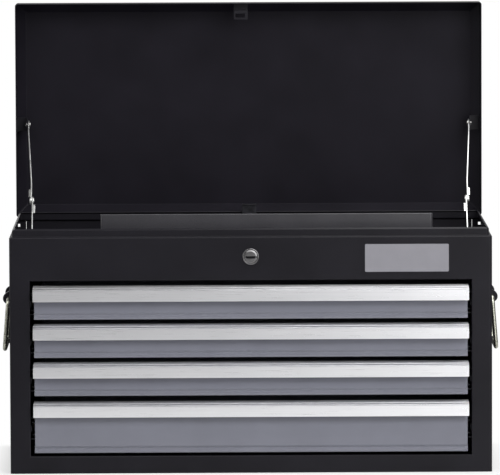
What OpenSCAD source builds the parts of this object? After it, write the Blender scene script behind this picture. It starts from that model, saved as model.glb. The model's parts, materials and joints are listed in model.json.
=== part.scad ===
// Four-drawer machinist tool chest with a hinged lid, a tote tray and folding lid stays.
// Millimetres, +Z up, front faces -Y. The origin is the centre of the cabinet's underside.
// The lid is drawn open at a right angle and the drawers are drawn shut.

/* [Cabinet] */
// Width of the cabinet
body_w = 660; // [640:1:760]
// Depth of the cabinet, front to back
body_d = 302; // [300:1:360]
// Thickness of the sheet steel
sheet = 1; // [0.8:0.1:1.2]
// Width of the frame at each side of the drawers
stile_w = 28; // [26:0.5:34]
// Height of the frame below the drawers
bottom_rail_h = 24; // [20:0.5:40]
// Height of the frame above the drawers
top_rail_h = 60.2; // [56:0.1:80]
// Depth of the folded edge round the drawer opening
frame_return = 10; // [6:0.5:11]

/* [Rim under the lid] */
// Width of the ledge that the lid closes on
ledge_w = 4; // [3:0.5:5]
// Height of the upright part of the lip
lip_upright = 5.5; // [3:0.5:7]
// Full height of the lip above the ledge
lip_h = 11; // [8:0.5:12]
// How far the top of the lip leans inwards
lip_lean = 3; // [2:0.5:4]
// Height of the flange that joins the rim to the walls
rim_flange_h = 12; // [8:1:20]

/* [Lid] */
// Height of the lid's walls
lid_h = 50; // [46:1:70]
// Gap between the closed lid and the ledge
lid_gap = 0.5; // [0.3:0.1:1]
// Size of the sloping edge round the top of the lid
lid_bevel = 13.5; // [8:0.5:14]

/* [Hinge] */
// Radius of the hinge knuckles
knuckle_r = 3; // [2.6:0.1:3.4]
// Radius of the hinge pin
hinge_pin_r = 1.5; // [1:0.1:1.8]
// Width of each hinge leaf
leaf_w = 18; // [12:1:24]
// Number of knuckles along the hinge
knuckle_count = 13; // [7:2:21]
// Distance from each end of the hinge to the side of the cabinet
hinge_end_margin = 20; // [10:1:60]

/* [Drawers] */
// Height of the front of each shallow drawer
shallow_front_h = 46.5; // [44:0.5:60]
// Height of the front of the deep drawer
deep_front_h = 71; // [60:0.5:110]
// Gap above the top drawer
top_gap = 6.3; // [5:0.1:9]
// Gap between the shallow drawers
drawer_gap = 6; // [4:0.5:9]
// Gap above the deep drawer
deep_gap = 7.5; // [4:0.5:9]
// Gap below the deep drawer
bottom_gap = 4.5; // [3:0.5:9]
// Gap at each side of a drawer front
side_gap = 5.5; // [3:0.5:7]
// How far the drawer fronts lie behind the frame
front_recess = 1; // [0:0.5:2]
// Height of the folded groove and lip along the bottom of a drawer front
foot_h = 7.8; // [7:0.1:9]
// Depth of that groove
groove_in = 1.6; // [0.5:0.1:2]
// How far the lip below the groove stands forward
foot_out = 1; // [0.5:0.1:2]
// Depth of the folded edge at each end of a drawer front
front_return = 6; // [3:0.5:7]
// Room between the drawer pans and the back panel, for the lock bar
pan_rear_gap = 36.4; // [32:0.2:42]
// How far a pan's walls end below the top of its front
pan_drop = 8; // [7:0.5:9]
// How far a pan's floor lies above the bottom of its front
pan_lift = 2; // [1:0.5:4]
// Height of the folded hem on a pan's walls
hem_h = 5; // [3:0.5:6]

/* [Handle strips] */
// How far a handle strip stands in front of the drawer front
strip_out = 10; // [9:0.5:12]
// Height of the sloping top of a handle strip
strip_slope_h = 6.8; // [5:0.2:9]
// Height of the upright front of a handle strip
strip_face_h = 14.8; // [10:0.2:18]
// Thickness of a handle strip
strip_t = 1.4; // [1.2:0.1:1.8]
// How far a handle strip reaches past each end of the drawer front
strip_overhang = 1.5; // [0:0.5:2]
// Depth of the small groove along the top of the upright front
strip_groove = 0.6; // [0.3:0.1:0.8]

/* [Ball slides] */
// Length of the slide rails
rail_len = 250; // [240:1:255]
// Height of the rails that are fixed to the cabinet
rail_h = 30; // [28:0.5:32]
// Width of a whole slide
slide_w = 12.7; // [12.2:0.1:13.4]
// Thickness of the rails
rail_t = 1.2; // [1:0.1:1.3]
// Diameter of the bearing balls
ball_d = 4; // [3.6:0.1:4.4]
// Clearance round the bearing balls
ball_clear = 0.3; // [0.25:0.05:0.4]
// How far a drawer pulls out
drawer_travel = 180; // [150:1:182]
// Balls in each row
balls_per_row = 4; // [3:1:5]

/* [Lid stays] */
// Height of the stay's upper pivot above the hinge, with the lid open
stay_lid_up = 133; // [128:1:140]
// Distance of the upper pivot behind the hinge, with the lid open
stay_lid_back = 22; // [20:1:26]
// Height of the elbow above the hinge
stay_elbow_up = 33; // [28:1:38]
// Distance of the elbow in front of the hinge
stay_elbow_fore = 85; // [80:1:95]
// Depth of the lower pivot below the hinge
stay_foot_down = 51; // [47:0.5:52]
// Distance of the lower pivot in front of the hinge
stay_foot_fore = 163; // [155:1:170]
// Width of the stay bars
stay_w = 12; // [10:0.5:13]
// Distance of the stays' lid brackets from the side of the cabinet
stay_side_gap = 15; // [14:0.5:17]
// Thickness of the stay bars
stay_t = 1.6; // [1.2:0.1:2]
// Radius of the stay rivets
stay_rivet_r = 2.5; // [2:0.1:3]

/* [Lock] */
// Diameter of the lock's front ring
lock_ring_d = 22.5; // [21:0.5:25]
// Diameter of the lock barrel
lock_barrel_d = 18; // [17:0.5:19]
// Diameter of the turning plug
lock_plug_d = 13; // [11:0.5:14]
// Length of the lock barrel behind the frame's face
lock_barrel_len = 15; // [14:0.5:17]
// Depth of the lock's centre below the ledge
lock_drop = 27.5; // [27:0.5:28]
// Inner radius of the hook on the cam
hook_r_in = 21; // [20.8:0.1:21.4]
// Outer radius of the hook on the cam
hook_r_out = 25; // [24:0.1:25.4]

/* [Drawer lock bar] */
// How far the lid pushes the bar down
lock_bar_travel = 8; // [6:0.5:9]
// Width of the bar
lock_bar_w = 20; // [16:1:26]
// Thickness of the bar
lock_bar_t = 2; // [1.5:0.1:2.5]
// Height of the catch on the back of each drawer
catch_h = 7; // [5:0.5:8]

/* [Side handles] */
// Height of the bail pivots above the ground
bail_pivot_z = 232; // [200:1:250]
// Distance between the two pivots' ears, centre to centre
bail_span = 92; // [80:1:110]
// Length of the bail below its pivots
bail_drop = 70; // [60:1:80]
// Diameter of the bail's rod
bail_rod_d = 6; // [5:0.1:6.5]
// Lean of the resting bail away from the cabinet, in degrees
bail_lean = 4.5; // [3:0.5:8]
// Height of the handle plate
plate_h = 78; // [70:1:84]
// Width of the handle plate
plate_w = 116; // [112:1:140]

/* [Tote tray] */
// Width of the tray
tray_w = 457; // [400:1:470]
// Depth of the tray
tray_d = 180; // [150:1:190]
// Height of the tray's front wall
tray_h = 84; // [60:1:88]
// Height of the tray's back wall, which its end walls slope down to
tray_back_h = 68; // [56:1:88]
// How far the tray sits to the right of the middle
tray_shift = 22.5; // [0:0.5:30]
// Distance of the tray behind the front of the cabinet
tray_fore_gap = 62; // [50:1:70]

/* [Label plate] */
// Width of the blank label
label_w = 114.5; // [60:0.5:130]
// Height of the blank label
label_h = 38; // [20:0.5:40]
// Distance from the label's middle to the right side of the cabinet
label_side = 116.5; // [95:0.5:180]
// Depth of the label's middle below the ledge
label_drop = 30.2; // [25:0.1:32]

/* [Hidden] */
$fn = 48;

// Small clearances and overlaps
running = 0.06;     // radial clearance of a turning fit
face_gap = 0.3;     // gap between faces that pass each other
cut = 1;            // how far a cutting shape runs past what it cuts

// Colours
black_paint = [0.16, 0.16, 0.17];
blue_grey_paint = [0.45, 0.46, 0.50];
aluminium = [0.82, 0.83, 0.85];
zinc = [0.78, 0.79, 0.80];
tray_grey = [0.24, 0.24, 0.26];

// Drawer fronts, counted from the top
front_h = [shallow_front_h, shallow_front_h, shallow_front_h, deep_front_h];
front_gap = [top_gap, drawer_gap, drawer_gap, deep_gap];
drawer_count = len(front_h);
function sum_to(list, last, i = 0) = i > last ? 0 : list[i] + sum_to(list, last, i + 1);
function front_stack(i) = sum_to(front_h, i) + sum_to(front_gap, i);
opening_bottom = bottom_rail_h;
opening_top = opening_bottom + bottom_gap + front_stack(drawer_count - 1);
body_h = opening_top + top_rail_h;
function front_z(i) = opening_top - front_stack(i);
function front_top(i) = front_z(i) + front_h[i];

// Cabinet faces
half_w = body_w / 2;
y_front = -body_d / 2;
y_back = body_d / 2;
opening_x = half_w - stile_w;
floor_z = opening_top + sheet;
floor_top = floor_z + sheet;
relief_w = 3.4;
relief_h = 4;
relief_drop = 10;
label_t = 0.3;
label_x = half_w - label_side;

// The rim's section as [distance in from the outer face, height from the ledge]
lip_edge = 1.3 * sheet;
lip_in = ledge_w + lip_lean + lip_edge;
rim_section = [
    [sheet, -rim_flange_h], [sheet, 0], [ledge_w, 0], [ledge_w, lip_upright],
    [lip_in - lip_edge, lip_h], [lip_in, lip_h],
    [ledge_w + sheet, lip_upright - 0.4 * sheet], [ledge_w + sheet, -sheet],
    [2 * sheet, -sheet], [2 * sheet, -rim_flange_h]
];

// Lid, as it lies when closed
lid_z = body_h + lid_gap;
lid_top = body_h + lid_h;

// Drawers across and along
front_x = opening_x - side_gap;
y_face = y_front + front_recess;
carrier_gap = 2;
carrier_x = opening_x + carrier_gap;
pan_x = carrier_x - slide_w;
pan_y = y_face + sheet + groove_in;
pan_back = y_back - sheet - pan_rear_gap;
pan_d = pan_back - pan_y;
groove_h = 2.4;
groove_root_h = 0.8;
foot_roll_h = 1.4;
foot_roll_in = 0.6;
function pan_z(i) = front_z(i) + pan_lift;
function pan_h(i) = front_h[i] - pan_lift - pan_drop;
function slide_z(i) = pan_z(i) + pan_h(i) / 2;

// Slides: from the carrier wall inwards come the cabinet rail, the cage and the drawer rail
carrier_y = y_front + sheet + frame_return;
rail_setback = 1;
rail_y = carrier_y + rail_setback;
rail_flange_w = 10;
ball_row_z = rail_h / 2 - rail_t - ball_clear - ball_d / 2;
drawer_rail_h = rail_h - 2 * (rail_t + 2 * ball_clear + ball_d);
cage_t = 0.8;
cage_gap = 1;
cage_x = carrier_x - rail_t - cage_gap - cage_t;
drawer_flange_x = cage_x - 0.6 * cage_gap;
ball_x = pan_x + slide_w * 0.45;
cage_flange_w = 7;
stop_t = 2;
stop_h = 8;
stop_gap = 0.5;
cage_y = rail_y + drawer_travel / 2 + stop_t + stop_gap;
cage_len = rail_len - drawer_travel - 2 * (stop_t + stop_gap);
ball_pitch = cage_len / balls_per_row;

// Hinge line
hinge_y = y_back + knuckle_r + face_gap;
hinge_z = body_h;
leaf_notch = knuckle_r + 0.6;
knuckle_gap = 0.5;
hinge_len = body_w - 2 * hinge_end_margin;
knuckle_pitch = hinge_len / knuckle_count;

// Lid stays: the pivots in the plane of the open lid
stay_lid_pin = [hinge_y + stay_lid_back, hinge_z + stay_lid_up];
stay_elbow = [hinge_y - stay_elbow_fore, hinge_z + stay_elbow_up];
stay_foot = [hinge_y - stay_foot_fore, hinge_z - stay_foot_down];
bracket_t = 1.5;
tab_x = half_w - stay_side_gap - bracket_t;
bar_gap = 0.5;
upper_bar_x = tab_x - bar_gap - stay_t;
stay_crank = 6;
elbow_bar_x = upper_bar_x - stay_crank;
lower_bar_x = elbow_bar_x - bar_gap - stay_t;
bracket_x = lower_bar_x + stay_t + bar_gap;
bracket_w = 30;
bracket_foot_w = 14;
bracket_rise = 9;
rivet_head_t = 1.2;
rivet_head_r = stay_rivet_r + 2;
stop_tab_len = 14;
stop_tab_from = 26;
stop_tab_out = 3;

// Lock
lock_z = body_h - lock_drop;
ring_t = 2.5;
lock_clear = 0.3;
cam_t = 2.5;
cam_y = y_front + lock_barrel_len + 1;
cam_screw_r = 2;
nut_af = lock_barrel_d + 4;
nut_t = 3;
hook_from = 165;
hook_to = 235;
striker_t = 1.5;
striker_z = lock_z + hook_r_in - 1 - striker_t;
striker_w = 19.5;
striker_x = -20.5;
slot_clear = 1.6;
slot_x0 = -sqrt(pow(hook_r_out, 2) - pow(striker_z - lock_z, 2)) - slot_clear;
slot_x1 = -sqrt(pow(hook_r_in, 2) - pow(striker_z + striker_t - lock_z, 2)) + slot_clear;

// Lock bar, its guides and the catches on the drawers
pad_d = 8;
pad_t = 2;
pad_gap = 1;
bar_rim_gap = 1.2;
bar_y = y_back - lip_in - bar_rim_gap - lock_bar_t;
bar_mid_y = bar_y + lock_bar_t / 2;
bar_top = body_h + lip_h + pad_gap + pad_t + lock_bar_travel;
bar_bottom = opening_bottom + bottom_gap + 6;
guide_h = 10;
guide_wall = 1.5;
guide_clear = 0.5;
catch_reach = 12;
catch_y = pan_back + catch_reach;
catch_w = 24;
hook_w = 16;
hook_t = 2;
hook_len = 7.5;
hook_y = catch_y - sheet - 2.5 - hook_t;
function catch_z(i) = pan_z(i) + 8;
function hook_tip_z(i) = catch_z(i) + sheet + catch_h + 1.5;

// Side handles
plate_t = 1;
bail_r = bail_rod_d / 2;
bail_plate_gap = 0.45;
bail_x = half_w + plate_t + bail_plate_gap + bail_r;
ear_wall = 5;
ear_r = bail_r + ear_wall;
ear_w = 10;
plate_top = bail_pivot_z + 12;
bail_bend = 9;
rib_h = 6;
rib_w = 12;
rib_z = bail_pivot_z - bail_drop + 14;
plate_rivet_r = 2;
plate_rivet_y = bail_span / 2 - 14;
plate_rivet_z = [plate_top - 6, plate_top - plate_h + 6];

// Tote tray
tray_z = floor_top + face_gap;
tray_hem_h = 4;
function tray_top(y) = tray_h - (tray_h - tray_back_h) * y / tray_d;

module mirrored_pair() {
    children();
    mirror([1, 0, 0]) children();
}

// Turns what is drawn in the closed lid's place to the open lid's place
module lid_opened() {
    translate([0, hinge_y, hinge_z]) rotate([-90, 0, 0])
        translate([0, -hinge_y, -hinge_z]) children();
}

// A rod along Y from y0 to y1
module rod_y(r, y0, y1) {
    translate([0, y1, 0]) rotate([90, 0, 0]) cylinder(r = r, h = y1 - y0);
}

// A rod along X from x0 to x1
module rod_x(r, x0, x1) {
    translate([x0, 0, 0]) rotate([0, 90, 0]) cylinder(r = r, h = x1 - x0);
}

// A profile of [y, z] points drawn along X from x0 to x1
module along_x(x0, x1, points) {
    translate([x0, 0, 0]) rotate([90, 0, 90]) linear_extrude(height = x1 - x0) polygon(points);
}

// ---- Cabinet ----

module side_panel() {
    color(black_paint)
        translate([half_w - sheet, y_front + sheet, 0])
            cube([sheet, body_d - sheet, body_h]);
}

module left_side_panel() {
    mirror([1, 0, 0]) side_panel();
}

module right_side_panel() {
    side_panel();
}

// Open notches where the folds meet at the two rear corners
module corner_reliefs() {
    relief_x = half_w - 2 * sheet - relief_w;
    mirrored_pair() translate([relief_x, y_back - 3 * sheet, body_h - relief_drop])
        cube([relief_w, 3 * sheet + cut, relief_h]);
}

module back_panel() {
    color(black_paint) difference() {
        translate([sheet - half_w, y_back - sheet, sheet])
            cube([body_w - 2 * sheet, sheet, body_h - sheet]);
        corner_reliefs();
    }
}

module bottom_panel() {
    color(black_paint)
        translate([sheet - half_w, y_front + sheet, 0])
            cube([body_w - 2 * sheet, body_d - sheet, sheet]);
}

// The block that the folded edge round the drawer opening is cut from
module frame_return_block() {
    outer = opening_x + sheet;
    overlap = cut / 10;
    translate([-outer, y_front + sheet - overlap, opening_bottom - sheet])
        cube([2 * outer, frame_return + overlap, opening_top - opening_bottom + 2 * sheet]);
}

module front_frame() {
    color(black_paint) difference() {
        union() {
            translate([-half_w, y_front, 0]) cube([body_w, sheet, body_h]);
            frame_return_block();
        }
        translate([-opening_x, y_front - cut, opening_bottom])
            cube([2 * opening_x, frame_return + sheet + 2 * cut, opening_top - opening_bottom]);
        translate([0, 0, lock_z])
            rod_y(lock_barrel_d / 2 + lock_clear / 2, y_front - cut, y_front + sheet + cut);
    }
}

// One side of the rim with mitred ends, lying along the front of a rim of the given size
module rim_side(length, depth) {
    reach = lip_in + cut;
    end = length / 2;
    edge = -depth / 2;
    intersection() {
        translate([-end, edge, body_h]) rotate([90, 0, 90])
            linear_extrude(height = length) polygon(rim_section);
        translate([0, 0, body_h - rim_flange_h - cut])
            linear_extrude(height = rim_flange_h + lip_h + 2 * cut)
                polygon([[-end, edge], [end, edge], [end - reach, edge + reach],
                         [reach - end, edge + reach]]);
    }
}

module top_rim() {
    color(black_paint) difference() {
        for (turn = [0, 180]) {
            rotate(turn) rim_side(body_w, body_d);
            rotate(turn + 90) rim_side(body_d, body_w);
        }
        corner_reliefs();
    }
}

module compartment_floor() {
    slot_gap = 0.9;
    color(black_paint) difference() {
        translate([sheet - half_w, y_front + sheet, floor_z])
            cube([body_w - 2 * sheet, body_d - 2 * sheet, sheet]);
        translate([-lock_bar_w / 2 - slot_gap, bar_y - slot_gap, floor_z - cut])
            cube([lock_bar_w + 2 * slot_gap, lock_bar_t + 2 * slot_gap, sheet + 2 * cut]);
    }
}

module carrier_wall() {
    color(black_paint)
        translate([carrier_x, carrier_y, sheet])
            cube([sheet, y_back - sheet - carrier_y, floor_z - sheet]);
}

module left_carrier_wall() {
    mirror([1, 0, 0]) carrier_wall();
}

module right_carrier_wall() {
    carrier_wall();
}

module blank_label() {
    color([0.74, 0.74, 0.77])
        translate([label_x - label_w / 2, y_front - label_t, body_h - label_drop - label_h / 2])
            cube([label_w, label_t, label_h]);
}

// ---- Ball slides ----

// The right-hand cabinet rail at the height z: a channel that opens towards the drawer
module cabinet_rail(z) {
    web_x = carrier_x - rail_t;
    stop_x = cage_x - 0.4 * cage_gap;
    translate([0, rail_y, z]) {
        difference() {
            translate([web_x - rail_flange_w, 0, -rail_h / 2])
                cube([rail_flange_w + rail_t, rail_len, rail_h]);
            translate([web_x - rail_flange_w - cut, -cut, rail_t - rail_h / 2])
                cube([rail_flange_w + cut, rail_len + 2 * cut, rail_h - 2 * rail_t]);
        }
        translate([stop_x, 0, -stop_h / 2]) cube([web_x + rail_t / 2 - stop_x, stop_t, stop_h]);
    }
}

module cabinet_slide_rails() {
    color(zinc) mirrored_pair()
        for (i = [0 : drawer_count - 1]) cabinet_rail(slide_z(i));
}

// The right-hand drawer rail: a smaller channel that opens towards the cabinet rail
module drawer_rail(z) {
    flange_w = drawer_flange_x - pan_x;
    translate([pan_x, rail_y, z]) {
        difference() {
            translate([0, 0, -drawer_rail_h / 2]) cube([flange_w, rail_len, drawer_rail_h]);
            translate([rail_t, -cut, rail_t - drawer_rail_h / 2])
                cube([flange_w, rail_len + 2 * cut, drawer_rail_h - 2 * rail_t]);
        }
        translate([0, rail_len - stop_t, -stop_h / 2])
            cube([cage_x + cage_t - pan_x, stop_t, stop_h]);
    }
}

module drawer_rails(i) {
    color(zinc) mirrored_pair() drawer_rail(slide_z(i));
}

// The right-hand ball cage, with a hole for every ball
module ball_cage(z) {
    translate([0, cage_y, z]) difference() {
        union() {
            translate([cage_x, 0, -ball_row_z - cage_t / 2])
                cube([cage_t, cage_len, 2 * ball_row_z + cage_t]);
            for (side = [-1, 1])
                translate([cage_x - cage_flange_w, 0, side * ball_row_z - cage_t / 2])
                    cube([cage_flange_w + cage_t / 2, cage_len, cage_t]);
        }
        for (k = [0 : balls_per_row - 1])
            translate([ball_x, (k + 0.5) * ball_pitch, -ball_row_z - ball_d])
                cylinder(d = ball_d + ball_clear, h = 2 * (ball_row_z + ball_d));
    }
}

module ball_rows(z) {
    for (k = [0 : balls_per_row - 1])
        for (side = [-1, 1])
            translate([ball_x, cage_y + (k + 0.5) * ball_pitch, z + side * ball_row_z])
                sphere(d = ball_d);
}

module ball_cages(i) {
    color([0.62, 0.60, 0.52]) mirrored_pair() ball_cage(slide_z(i));
    color(zinc) mirrored_pair() ball_rows(slide_z(i));
}

// ---- Drawers ----

module drawer_pan(i) {
    z = pan_z(i);
    h = pan_h(i);
    hem_t = 2 * sheet;
    color(blue_grey_paint) {
        difference() {
            translate([-pan_x, pan_y, z]) cube([2 * pan_x, pan_d, h]);
            translate([hem_t - pan_x, pan_y + hem_t, z + sheet])
                cube([2 * (pan_x - hem_t), pan_d - 2 * hem_t, h]);
            translate([sheet - pan_x, pan_y + sheet, z + sheet])
                cube([2 * (pan_x - sheet), pan_d - 2 * sheet, h - sheet - hem_h]);
        }
        drawer_catch(i);
    }
}

// A channel welded to the back of the pan, which the lock bar's hook drops into
module drawer_catch(i) {
    base_y = pan_back + face_gap;
    translate([-catch_w / 2, base_y, catch_z(i)]) difference() {
        cube([catch_w, catch_y - base_y, sheet + catch_h]);
        translate([-cut, sheet, sheet])
            cube([catch_w + 2 * cut, catch_y - base_y - 2 * sheet, catch_h + cut]);
    }
}

// The front's section from the top down as [distance behind the face, height]
function front_section(z, top) = [
    [0, top], [0, z + foot_h], [groove_in, z + foot_h - groove_h],
    [groove_in, z + foot_h - groove_h - groove_root_h], [-foot_out, z + foot_roll_h],
    [foot_roll_in - foot_out, z]
];

module drawer_front(i) {
    z = front_z(i);
    top = front_top(i) - strip_t;
    section = front_section(z, top);
    last = len(section) - 1;
    outer = [for (p = section) [y_face + p[0], p[1]]];
    inner = [for (k = [last : -1 : 0]) [y_face + sheet + section[k][0], section[k][1]]];
    color(blue_grey_paint) {
        along_x(-front_x, front_x, concat(outer, inner));
        mirrored_pair() translate([front_x - sheet, y_face + sheet / 2, z + foot_h])
            cube([sheet, front_return - sheet / 2, top - z - foot_h]);
    }
}

module handle_strip(i) {
    top = front_top(i);
    slope_foot = top - strip_slope_h;
    face_y = y_face - strip_out;
    bottom = slope_foot - strip_face_h;
    back_y = y_face + sheet;
    strip_x = front_x + strip_overhang;
    groove_h = 0.9;
    curl = 3;
    color(aluminium) along_x(-strip_x, strip_x, [
        [back_y, top], [y_face, top], [face_y + strip_groove, slope_foot + groove_h],
        [face_y + strip_groove, slope_foot], [face_y, slope_foot], [face_y, bottom],
        [face_y + curl, bottom], [face_y + curl, bottom + strip_t],
        [face_y + strip_t, bottom + strip_t], [face_y + strip_t, slope_foot + groove_h / 2],
        [y_face, top - strip_t], [back_y, top - strip_t]
    ]);
}

// ---- Hinge ----

// A leaf that hangs below the hinge line on the plane y = y_back, with every second knuckle
module hinge_leaf(first) {
    difference() {
        union() {
            translate([-hinge_len / 2, y_back, hinge_z - leaf_w])
                cube([hinge_len, sheet, leaf_w - leaf_notch]);
            for (k = [first : 2 : knuckle_count - 1]) {
                x0 = k * knuckle_pitch - (hinge_len - knuckle_gap) / 2;
                x1 = x0 + knuckle_pitch - knuckle_gap;
                translate([x0, y_back, hinge_z - leaf_w]) cube([x1 - x0, sheet, leaf_w]);
                translate([0, hinge_y, hinge_z]) rod_x(knuckle_r, x0, x1);
            }
        }
        translate([0, hinge_y, hinge_z]) rod_x(hinge_pin_r + running, -half_w, half_w);
    }
}

module body_hinge_leaf() {
    color(zinc) hinge_leaf(0);
}

module lid_hinge_leaf() {
    color(zinc) lid_opened()
        translate([0, 0, 2 * hinge_z]) mirror([0, 0, 1]) hinge_leaf(1);
}

module hinge_pin() {
    color(zinc) translate([0, hinge_y, hinge_z]) rod_x(hinge_pin_r, -hinge_len / 2, hinge_len / 2);
}

// ---- Lid ----

// The closed lid's solid with sloping edges, drawn in by the distance inset on every face
module lid_solid(inset, bottom) {
    x = half_w - inset;
    y = body_d / 2 - inset;
    top = lid_top - inset;
    slope = lid_bevel - inset * (2 - sqrt(2));
    intersection() {
        along_x(-x, x, [[-y, bottom], [y, bottom], [y, top - slope], [y - slope, top],
                        [slope - y, top], [-y, top - slope]]);
        translate([0, y, 0]) rotate([90, 0, 0]) linear_extrude(height = 2 * y)
            polygon([[-x, bottom], [x, bottom], [x, top - slope], [x - slope, top],
                     [slope - x, top], [-x, top - slope]]);
    }
}

module lid_shell() {
    color(black_paint) lid_opened() difference() {
        lid_solid(0, lid_z);
        lid_solid(sheet, lid_z - cut);
    }
}

// A folded bracket on the lid's side wall, whose tab carries the stay's upper pivot
module stay_lid_bracket() {
    wall_x = half_w - sheet;
    length = 20;
    flange_drop = 8;
    tab_drop = 6;
    top = bracket_rise + bracket_t;
    translate([0, hinge_y - stay_lid_up, hinge_z + stay_lid_back]) difference() {
        translate([0, -length / 2, 0]) {
            translate([tab_x, 0, bracket_rise]) cube([wall_x - tab_x, length, bracket_t]);
            translate([wall_x - bracket_t, 0, -flange_drop])
                cube([bracket_t, length, top + flange_drop]);
            translate([tab_x, 0, -tab_drop]) cube([bracket_t, length, top + tab_drop]);
        }
        rod_x(stay_rivet_r + running, tab_x - cut, tab_x + bracket_t + cut);
    }
}

module stay_lid_brackets() {
    color(zinc) lid_opened() mirrored_pair() stay_lid_bracket();
}

// A strap that reaches over the lip and carries the slot that the lock's hook enters
module lid_striker() {
    lip_clear = 2;
    root_y = y_front + sheet;
    root_h = 20;
    drop_y = y_front + lip_in + lip_clear;
    bridge_z = body_h + lip_h + lip_clear;
    slot_w = cam_t + 3;
    foot_len = cam_y + cam_t / 2 + slot_w - drop_y;
    color(black_paint) lid_opened() difference() {
        translate([striker_x, 0, 0]) {
            translate([0, root_y, bridge_z]) cube([striker_w, striker_t, root_h]);
            translate([0, root_y, bridge_z])
                cube([striker_w, drop_y + striker_t - root_y, striker_t]);
            translate([0, drop_y, striker_z])
                cube([striker_w, striker_t, bridge_z + striker_t - striker_z]);
            translate([0, drop_y, striker_z]) cube([striker_w, foot_len, striker_t]);
        }
        translate([slot_x0, cam_y + cam_t / 2 - slot_w / 2, striker_z - cut])
            cube([slot_x1 - slot_x0, slot_w, striker_t + 2 * cut]);
    }
}

// A tab on the lid's rear wall that pushes the drawer lock bar down as the lid closes
module lock_bar_pusher() {
    tab_z = bar_top - lock_bar_travel + face_gap;
    tab_y = bar_mid_y - pad_d / 2 - 1;
    tab_t = 1.5;
    root_h = 14;
    color(zinc) lid_opened() translate([-lock_bar_w / 2, 0, tab_z]) {
        translate([0, tab_y, 0]) cube([lock_bar_w, y_back - sheet - tab_y, tab_t]);
        translate([0, y_back - sheet - tab_t, 0]) cube([lock_bar_w, tab_t, root_h]);
    }
}

// ---- Lid stays ----

// Turns and moves what is drawn along Y from zero to lie along the line from a to b
module along_stay(a, b) {
    angle = atan2(b[1] - a[1], b[0] - a[0]);
    translate([0, a[0], a[1]]) rotate([angle, 0, 0]) children();
}

// The upper bar is cranked, so that it clears the bracket below it
module stay_upper_bar() {
    length = norm(stay_elbow - stay_lid_pin);
    crank_from = 14;
    crank_to = length - 30;
    along_stay(stay_lid_pin, stay_elbow) difference() {
        union() {
            translate([0, 0, -stay_w / 2]) linear_extrude(height = stay_w)
                polygon([[upper_bar_x, 0], [upper_bar_x + stay_t, 0],
                         [upper_bar_x + stay_t, crank_from], [elbow_bar_x + stay_t, crank_to],
                         [elbow_bar_x + stay_t, length], [elbow_bar_x, length],
                         [elbow_bar_x, crank_to], [upper_bar_x, crank_from]]);
            rod_x(stay_w / 2, upper_bar_x, upper_bar_x + stay_t);
            translate([0, length, 0]) {
                rod_x(stay_w / 2, elbow_bar_x, elbow_bar_x + stay_t);
                rod_x(rivet_head_r, elbow_bar_x + stay_t / 2, elbow_bar_x + stay_t + rivet_head_t);
            }
            translate([elbow_bar_x, length - stop_tab_from, stay_w / 2 - stay_t])
                cube([stay_t + stop_tab_out, stop_tab_len, stay_t]);
        }
        rod_x(stay_rivet_r + running, upper_bar_x - cut, upper_bar_x + stay_t + cut);
    }
}

// The lower bar has a short stop tab that is curled over at the elbow
module stay_lower_bar() {
    length = norm(stay_elbow - stay_foot);
    along_stay(stay_foot, stay_elbow) difference() {
        union() {
            translate([lower_bar_x, 0, -stay_w / 2]) cube([stay_t, length, stay_w]);
            rod_x(stay_w / 2, lower_bar_x, lower_bar_x + stay_t);
            translate([0, length, 0]) {
                rod_x(stay_w / 2, lower_bar_x, lower_bar_x + stay_t);
                rod_x(rivet_head_r, lower_bar_x - rivet_head_t, lower_bar_x + stay_t / 2);
            }
            translate([lower_bar_x - stop_tab_out, length - stop_tab_from, stay_w / 2 - stay_t])
                cube([stay_t + stop_tab_out, stop_tab_len, stay_t]);
        }
        rod_x(stay_rivet_r + running, lower_bar_x - cut, lower_bar_x + stay_t + cut);
    }
}

module left_stay_upper_bar() {
    color(zinc) mirror([1, 0, 0]) stay_upper_bar();
}

module right_stay_upper_bar() {
    color(zinc) stay_upper_bar();
}

module left_stay_lower_bar() {
    color(zinc) mirror([1, 0, 0]) stay_lower_bar();
}

module right_stay_lower_bar() {
    color(zinc) stay_lower_bar();
}

// A pair of rivets at the point [y, z] with heads outside the faces x0 and x1
module stay_rivet_pair(point, x0, x1) {
    mirrored_pair() translate([0, point[0], point[1]]) {
        rod_x(stay_rivet_r, x0, x1);
        rod_x(rivet_head_r, x0 - rivet_head_t, x0);
        rod_x(rivet_head_r, x1, x1 + rivet_head_t);
    }
}

module stay_lid_rivets() {
    color(zinc) stay_rivet_pair(stay_lid_pin, upper_bar_x - face_gap, tab_x + bracket_t);
}

module stay_bracket_rivets() {
    color(zinc) stay_rivet_pair(stay_foot, lower_bar_x - face_gap, bracket_x + bracket_t);
}

// An angle bracket on the compartment floor that carries the lower bar
module stay_bracket() {
    height = stay_foot[1] + bracket_rise - floor_top;
    difference() {
        translate([bracket_x, stay_foot[0] - bracket_w / 2, floor_top]) {
            cube([bracket_t, bracket_w, height]);
            cube([bracket_foot_w, bracket_w, bracket_t]);
        }
        translate([0, stay_foot[0], stay_foot[1]])
            rod_x(stay_rivet_r + running, bracket_x - cut, bracket_x + bracket_t + cut);
    }
}

module stay_brackets() {
    color(zinc) mirrored_pair() stay_bracket();
}

// ---- Lock ----

module lock_housing() {
    color(zinc) translate([0, 0, lock_z]) difference() {
        union() {
            rod_y(lock_ring_d / 2, y_front - ring_t, y_front);
            rod_y(lock_barrel_d / 2, y_front - ring_t, y_front + lock_barrel_len);
        }
        rod_y(lock_plug_d / 2 + running, y_front - ring_t - cut, y_front + lock_barrel_len + cut);
    }
}

module lock_nut() {
    nut_y = y_front + sheet;
    color(zinc) translate([0, 0, lock_z]) difference() {
        translate([0, nut_y + nut_t, 0]) rotate([90, 0, 0])
            cylinder(r = nut_af / sqrt(3), h = nut_t, $fn = 6);
        rod_y(lock_barrel_d / 2 + 0.05, nut_y - cut, nut_y + nut_t + cut);
    }
}

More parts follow.
